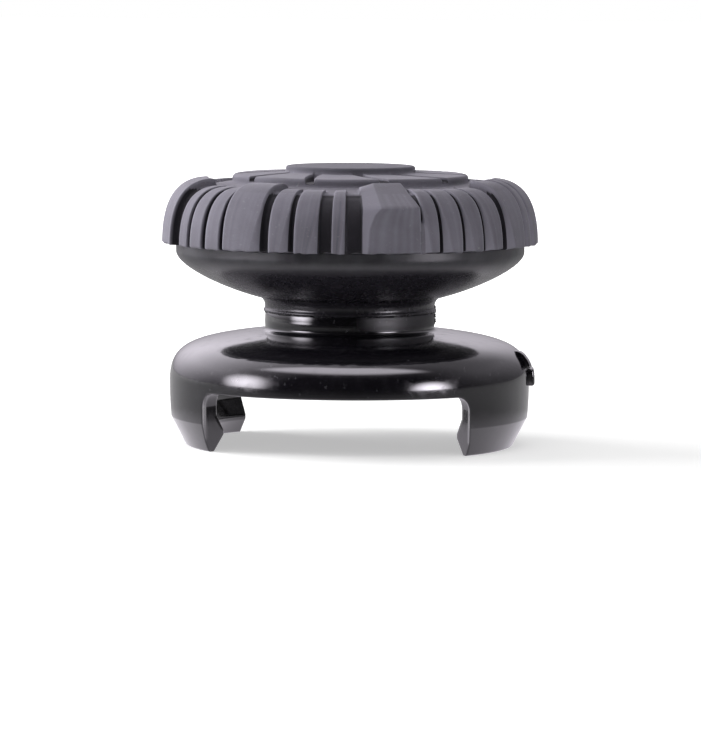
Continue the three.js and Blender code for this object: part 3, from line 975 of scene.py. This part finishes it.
def maths(tree, operation, first, second):
    """One operation on two values, each a socket or a number."""
    node = tree.nodes.new("ShaderNodeMath")
    node.operation = operation
    feed(tree, first, node.inputs[0])
    feed(tree, second, node.inputs[1])
    return node.outputs["Value"]


def times(tree, first, second):
    """The product of two values."""
    return maths(tree, "MULTIPLY", first, second)


def plus(tree, first, second):
    """The sum of two values."""
    return maths(tree, "ADD", first, second)


# Where a mix node has its two inputs and its result, for each kind of data
MIX_SOCKETS = {"FLOAT": (2, 3, 0), "RGBA": (6, 7, 2)}


def mix(tree, kind, factor, first, second):
    """Mixes two values or two colours by a factor. Each of them is a socket or a constant."""
    node = tree.nodes.new("ShaderNodeMix")
    node.data_type = kind
    low, high, result = MIX_SOCKETS[kind]
    tree.links.new(factor, node.inputs["Factor"])
    feed(tree, first, node.inputs[low])
    feed(tree, second, node.inputs[high])
    return node.outputs[result]


def mix_value(tree, factor, first, second):
    return mix(tree, "FLOAT", factor, first, second)


def mix_colour(tree, factor, first, second):
    return mix(tree, "RGBA", factor, first, second)


def scaled(colour, factor):
    """A colour times a factor, darker under 1 and paler over it."""
    return tuple(factor * c for c in colour)


def add_bump(tree, shader, height, distance, strength):
    """Raises the surface's shading by a height value over the distance in metres."""
    bump = tree.nodes.new("ShaderNodeBump")
    bump.inputs["Distance"].default_value = distance
    bump.inputs["Strength"].default_value = strength
    tree.links.new(height, bump.inputs["Height"])
    tree.links.new(bump.outputs["Normal"], shader.inputs["Normal"])


# Gloss plastic: where the rubbed neck starts in height and along X, in metres, and what rubbing does
RUBBED_HEIGHT = (0.0072, 0.0074)
RUBBED_SIDE = (0.0005, 0.0015)
RUBBED_ROUGHNESS = 0.3
GLOSS_ROUGHNESS = (0.13, 0.26)
COAT = 0.4
GLOSS_DUST = (0.09, 0.09, 0.1)


def gloss_plastic(colour):
    """Moulded gloss black: flow marks in the bump, dust, fine scuffs, and a rubbed neck on the +X side."""
    material, tree, shader = new_material("gloss_plastic", colour)
    shader.inputs["Specular IOR Level"].default_value = 0.6
    shader.inputs["Coat Roughness"].default_value = 0.08
    axes = axes_of(tree, "Object")
    neck = remap(tree, axes["Z"], RUBBED_HEIGHT, (0.0, 1.0))
    rubbed = times(tree, neck, remap(tree, axes["X"], RUBBED_SIDE, (0.0, 1.0)))
    scuffs = remap(tree, object_noise(tree, 900, 6, 0.6, 0.4), (0.52, 0.72), (0.0, 1.0))
    roughness = plus(tree, between(tree, scuffs, *GLOSS_ROUGHNESS), times(tree, rubbed, RUBBED_ROUGHNESS))
    tree.links.new(roughness, shader.inputs["Roughness"])
    coat = times(tree, maths(tree, "SUBTRACT", 1.0, rubbed), COAT)
    tree.links.new(coat, shader.inputs["Coat Weight"])
    dust = remap(tree, object_noise(tree, 3800, 2, 0.5), (0.66, 0.74), (0.0, 0.35))
    tree.links.new(mix_colour(tree, dust, colour, GLOSS_DUST), shader.inputs["Base Color"])
    add_bump(tree, shader, object_noise(tree, 260, 2, 0.4), 0.00006, 0.35)
    return material


# Satin plastic: the height in metres where the greyer belt starts, partly scuffs and partly a painted
# reflection of the side light, and its colour
BELT_HEIGHT = (0.0109, 0.0117)
BELT_SCUFF_AND_REFLECTION_COLOUR = (0.043, 0.043, 0.048)


def satin_plastic(colour):
    """Moulded satin black: smoother below, with a greyer belt under the tread's edge, partly scuffs and
    partly a painted reflection of the side light.
    """
    material, tree, shader = new_material("matte_plastic", colour)
    shader.inputs["Specular IOR Level"].default_value = 0.5
    belt = remap(tree, axes_of(tree, "Object")["Z"], BELT_HEIGHT, (0.0, 1.0))
    patches = remap(tree, object_noise(tree, 420, 5, 0.62, 0.3), (0.4, 0.66), (0.25, 1.0))
    # Greyer belt in patches: partly scuffs, partly a painted reflection of the side light
    scuff_and_reflection = times(tree, belt, patches)
    tree.links.new(mix_colour(tree, scuff_and_reflection, colour, BELT_SCUFF_AND_REFLECTION_COLOUR), shader.inputs["Base Color"])
    fine = remap(tree, object_noise(tree, 1500, 4, 0.6), (0.4, 0.7), (-0.01, 0.02))
    tree.links.new(plus(tree, between(tree, scuff_and_reflection, 0.27, 0.5), fine), shader.inputs["Roughness"])
    grain = times(tree, object_noise(tree, 2600, 4, 0.6), between(tree, belt, 0.06, 1.0))
    add_bump(tree, shader, grain, 0.00003, 0.35)
    return material


# Rubber: its darker and paler patches and its painted edge highlight as shares of its colour, its dust and
# the painted shade of its slots
RUBBER_DARKER = 0.72
RUBBER_PALER = 1.3
RUBBER_HIGHLIGHT = 1.9
RUBBER_DUST = (0.3, 0.3, 0.31)
SLOT_SHADE_COLOUR = (0.004, 0.0035, 0.006)
DISC_HEIGHT = ((GRIP_TOP - 0.4) * MM, (GRIP_TOP - 0.2) * MM)
DISC_DULLING = 0.6


def tread_rubber(colour):
    """Dark grey rubber: patches, upright streaks, a painted highlight on the edges, painted shade in the
    slots, a dulled disc, dust and grain.
    """
    material, tree, shader = new_material("rubber", colour)
    shader.inputs["Sheen Weight"].default_value = 0.06
    shader.inputs["Sheen Roughness"].default_value = 0.5
    cloud = remap(tree, object_noise(tree, 340, 5, 0.6, 0.3), (0.3, 0.7), (0.0, 1.0))
    streaked = plus(tree, times(tree, cloud, 0.6), attribute(tree, "streak"))
    darker = scaled(colour, RUBBER_DARKER)
    body = mix_colour(tree, between(tree, streaked, 0.0, 1.0), darker, scaled(colour, RUBBER_PALER))
    specks = remap(tree, object_noise(tree, 5200, 2, 0.5), (0.66, 0.76), (0.0, 0.3))
    dusty = mix_colour(tree, specks, body, RUBBER_DUST)
    disc = remap(tree, axes_of(tree, "Object")["Z"], DISC_HEIGHT, (0.0, DISC_DULLING))
    dulled = mix_colour(tree, disc, dusty, darker)
    specular = remap(tree, disc, (0.0, DISC_DULLING), (0.3, 0.05))
    tree.links.new(specular, shader.inputs["Specular IOR Level"])
    # Painted highlight on the lugs' edges
    edges = between(tree, attribute(tree, "edge_highlight"), 0.0, 0.45)
    highlighted = mix_colour(tree, edges, dulled, scaled(colour, RUBBER_HIGHLIGHT))
    # Painted shade in the slots and the ring's grooves
    slots = remap(tree, attribute(tree, "slot_depth"), (0.2, 0.8), (0.0, 0.98))
    tree.links.new(mix_colour(tree, slots, highlighted, SLOT_SHADE_COLOUR), shader.inputs["Base Color"])
    tree.links.new(between(tree, cloud, 0.56, 0.7), shader.inputs["Roughness"])
    grain = plus(tree, object_noise(tree, 7000, 3, 0.6), times(tree, cloud, 0.5))
    add_bump(tree, shader, grain, 0.00004, 0.4)
    return material


def towards(azimuth, elevation):
    """The direction of an azimuth and an elevation in degrees."""
    a, e = math.radians(azimuth), math.radians(elevation)
    return Vector((math.cos(e) * math.sin(a), -math.cos(e) * math.cos(a), math.sin(e)))


def glow(tree, azimuth, elevation, spread, level):
    """A soft round light in the world, for gloss: full at its middle, nothing at the spread from it."""
    direction = tree.nodes.new("ShaderNodeTexCoord")
    dot = tree.nodes.new("ShaderNodeVectorMath")
    dot.operation = "DOT_PRODUCT"
    tree.links.new(direction.outputs["Generated"], dot.inputs[0])
    dot.inputs[1].default_value = towards(azimuth, elevation)
    near = remap(tree, dot.outputs["Value"], (math.cos(math.radians(spread)), 1.0), (0.0, 1.0))
    return times(tree, maths(tree, "POWER", near, GLOW_POWER), level)


def studio_gloss(tree, settings):
    """What gloss shows: a bright back that dims to the right, light overhead, a front strip and the glows."""
    axes = axes_of(tree, "Generated")
    right = times(tree, between(tree, axes["X"], 0.0, 1.0), BACK_LEAN)
    depth = maths(tree, "SUBTRACT", axes["Y"], right)
    behind = remap(tree, depth, BACK_EDGE, (settings.front_level, 1.0))
    behind = times(tree, behind, remap(tree, axes["Z"], *BACK_BY_HEIGHT))
    behind = times(tree, behind, remap(tree, axes["X"], *BACK_BY_SIDE))
    gloss = maths(tree, "MAXIMUM", behind, remap(tree, axes["Z"], *OVERHEAD))
    for azimuth, elevation, spread, level in GLOSS_LIGHTS:
        gloss = plus(tree, gloss, glow(tree, azimuth, elevation, spread, level))
    strip = times(tree, remap(tree, axes["Z"], *STRIP_BOTTOM), remap(tree, axes["Z"], *STRIP_TOP))
    strip = times(tree, strip, remap(tree, axes["Y"], *STRIP_FRONT))
    return plus(tree, gloss, times(tree, strip, settings.strip_level))


def world_light(settings):
    """Even light all round; to the camera it is white, and in gloss it is a studio with a dark front."""
    world = bpy.data.worlds.new("studio")
    bpy.context.scene.world = world
    tree = cleared_tree(world)
    output = tree.nodes.new("ShaderNodeOutputWorld")
    path = tree.nodes.new("ShaderNodeLightPath").outputs
    background = tree.nodes.new("ShaderNodeBackground")
    seen = mix_value(tree, path["Is Glossy Ray"], settings.world_level, studio_gloss(tree, settings))
    seen = mix_value(tree, path["Is Transmission Ray"], seen, 1.0)
    seen = mix_value(tree, path["Is Camera Ray"], seen, 1.0)
    tree.links.new(seen, background.inputs["Strength"])
    tint = mix_colour(tree, path["Is Glossy Ray"], (1.0, 1.0, 1.0), GLOSS_TINT)
    tree.links.new(tint, background.inputs["Color"])
    tree.links.new(background.outputs["Background"], output.inputs["Surface"])


def floor_paper():
    """White paper: it takes the shadow, and shows white to the camera and, but for its front, in gloss."""
    material = bpy.data.materials.new("studio_paper")
    tree = cleared_tree(material)
    output = tree.nodes.new("ShaderNodeOutputMaterial")
    paper = tree.nodes.new("ShaderNodeBsdfDiffuse")
    emission = tree.nodes.new("ShaderNodeEmission")
    path = tree.nodes.new("ShaderNodeLightPath").outputs
    seen = maths(tree, "MAXIMUM", path["Is Camera Ray"], path["Is Glossy Ray"])
    seen = maths(tree, "MAXIMUM", seen, path["Is Transmission Ray"])
    coordinates = tree.nodes.new("ShaderNodeTexCoord")
    distance = tree.nodes.new("ShaderNodeVectorMath")
    distance.operation = "LENGTH"
    tree.links.new(coordinates.outputs["Object"], distance.inputs[0])
    away = distance.outputs["Value"]
    glowing = mix_value(
        tree, path["Is Glossy Ray"], remap(tree, away, *PAPER_GLOW), remap(tree, away, *PAPER_IN_GLOSS)
    )
    front = remap(tree, axes_of(tree, "Object")["Y"], *PAPER_FRONT)
    shade = maths(tree, "SUBTRACT", 1.0, times(tree, front, path["Is Glossy Ray"]))
    tree.links.new(times(tree, times(tree, seen, glowing), shade), emission.inputs["Strength"])
    tint = mix_colour(tree, path["Is Glossy Ray"], (1.0, 1.0, 1.0), GLOSS_TINT)
    tree.links.new(tint, emission.inputs["Color"])
    tree.links.new(mix_colour(tree, shade, (0.0, 0.0, 0.0), PAPER_COLOUR), paper.inputs["Color"])
    both = tree.nodes.new("ShaderNodeAddShader")
    tree.links.new(paper.outputs["BSDF"], both.inputs[0])
    tree.links.new(emission.outputs["Emission"], both.inputs[1])
    tree.links.new(both.outputs["Shader"], output.inputs["Surface"])
    return material


def softbox(name, azimuth, elevation, distance, size, radiance):
    """A rectangular lamp for diffuse light, aimed at the grip. Its power is radiance times area times pi."""
    lamp = bpy.data.lights.new(name, "AREA")
    lamp.shape = "RECTANGLE"
    lamp.size, lamp.size_y = size
    lamp.energy = radiance * size[0] * size[1] * math.pi
    box = place(name, lamp)
    middle = Vector((0.0, 0.0, GRIP_TOP * MM / 2))
    away = towards(azimuth, elevation)
    box.location = middle + away * distance
    box.rotation_euler = away.to_track_quat("Z", "Y").to_euler()
    box.visible_camera = False
    box.visible_glossy = False


def place_camera():
    """The photograph's view: distance, height and turn of the camera, its lens, downward tilt and roll."""
    data = bpy.data.cameras.new("photo_camera")
    data.sensor_width = SENSOR
    data.lens = FOCAL_PIXELS / max(FRAME_WIDTH, FRAME_HEIGHT) * SENSOR
    data.clip_start = 0.01
    data.clip_end = 20
    camera = place("photo_camera", data)
    turn = math.radians(CAMERA_AZIMUTH)
    away = towards(CAMERA_AZIMUTH, 0)
    side = Vector((math.cos(turn), math.sin(turn), 0.0))
    plan = away * CAMERA_DISTANCE * MM + side * CAMERA_SIDE * MM
    camera.location = plan + Vector((0, 0, CAMERA_HEIGHT * MM))
    look = Matrix.Rotation(turn, 4, "Z") @ Matrix.Rotation(math.radians(90 - CAMERA_PITCH), 4, "X")
    camera.rotation_euler = (look @ Matrix.Rotation(math.radians(CAMERA_ROLL), 4, "Z")).to_euler()
    bpy.context.scene.camera = camera


def finish_piece(piece, material, node):
    """Gives a piece its material, ties it to the body, and hides the node of model.glb that it stands for."""
    piece.data.materials.append(material)
    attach(piece, BODY)
    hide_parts(node)


class GRIP_OT_clip_base(bpy.types.Operator):
    """Makes the gloss clip base with its prongs, hooks, dome, neck ring and index bars"""

    bl_idname = "thumb_grip.clip_base"
    bl_label = "Clip base"

    def execute(self, context):
        settings = context.scene.grip_base
        bars = [index_bar_mesh(bar, settings) for bar in INDEX_BARS]
        points, faces = joined([clip_base_mesh(settings), *bars])
        piece = mesh_piece("clip_base_moulding", points, faces)
        finish_piece(piece, gloss_plastic(settings.colour), "clip_base")
        return {"FINISHED"}


class GRIP_OT_carrier_dish(bpy.types.Operator):
    """Makes the satin dish that carries the tread, with the flash at its seam and parting line"""

    bl_idname = "thumb_grip.carrier_dish"
    bl_label = "Carrier dish"

    def execute(self, context):
        settings = context.scene.grip_dish
        neck = context.scene.grip_base.neck_radius / MM
        points, faces = joined([
            dish_mesh(settings, neck),
            seam_flash_mesh(settings, neck),
            parting_flash_mesh(settings, neck),
        ])
        piece = mesh_piece("carrier_dish_moulding", points, faces)
        finish_piece(piece, satin_plastic(settings.colour), "carrier_dish")
        return {"FINISHED"}


class GRIP_OT_tread(bpy.types.Operator):
    """Makes the rubber tread with its shoulder lugs, band, grooved ring and centre disc"""

    bl_idname = "thumb_grip.tread"
    bl_label = "Rubber tread"

    def execute(self, context):
        settings = context.scene.grip_tread
        if TREAD_COLUMNS % settings.ring_grooves:
            self.report({"ERROR"}, "The number of ring grooves must divide the number of columns")
            raise RuntimeError("the ring grooves don't divide the columns of the tread")
        ledge = context.scene.grip_dish.ledge / MM
        piece = mesh_piece("tread_moulding", *tread_mesh(settings, ledge))
        finish_piece(piece, tread_rubber(settings.colour), "tread_cap")
        return {"FINISHED"}


class GRIP_OT_stage(bpy.types.Operator):
    """Sets up the white paper floor, the soft studio light and the photograph's camera"""

    bl_idname = "thumb_grip.stage"
    bl_label = "Stage"

    def execute(self, context):
        settings = context.scene.grip_stage
        step = np.linspace(-PAPER_HALF_SIDE, PAPER_HALF_SIDE, 3)
        x, y = np.meshgrid(step, step)
        points = np.stack([x, y, 0 * x], axis=-1).reshape(-1, 3) / MM
        floor = mesh_piece("paper_floor", points, grid_faces(3, 3, wrap_columns=False))
        floor.data.materials.append(floor_paper())
        world_light(settings)
        for name, (azimuth, elevation, distance, size, level, share) in SOFTBOXES.items():
            softbox(name, azimuth, elevation, distance, size, getattr(settings, level) * share)
        context.scene.view_settings.view_transform = "Standard"
        place_camera()
        return {"FINISHED"}


class GRIP_PT_panel(bpy.types.Panel):
    """Lists the steps that build the thumb grip, with their sizes and colours"""

    bl_idname = "GRIP_PT_panel"
    bl_label = "Thumb Grip"
    bl_space_type = "VIEW_3D"
    bl_region_type = "UI"
    bl_category = "Thumb Grip"

    def draw(self, context):
        for operator, key, kind in STEPS:
            box = self.layout.box()
            settings = getattr(context.scene, key)
            for name in kind.__annotations__:
                box.prop(settings, name)
            box.operator(operator.bl_idname)


STEPS = (
    (GRIP_OT_clip_base, "grip_base", BaseSettings),
    (GRIP_OT_carrier_dish, "grip_dish", DishSettings),
    (GRIP_OT_tread, "grip_tread", TreadSettings),
    (GRIP_OT_stage, "grip_stage", StageSettings),
)


def register():
    for operator, key, kind in STEPS:
        bpy.utils.register_class(kind)
        bpy.utils.register_class(operator)
        setattr(bpy.types.Scene, key, PointerProperty(type=kind))
    bpy.utils.register_class(GRIP_PT_panel)


def unregister():
    bpy.utils.unregister_class(GRIP_PT_panel)
    for operator, key, kind in reversed(STEPS):
        delattr(bpy.types.Scene, key)
        bpy.utils.unregister_class(operator)
        bpy.utils.unregister_class(kind)


def main():
    register()
    bpy.ops.thumb_grip.clip_base()
    bpy.ops.thumb_grip.carrier_dish()
    bpy.ops.thumb_grip.tread()
    bpy.ops.thumb_grip.stage()


if __name__ == "__main__":
    main()
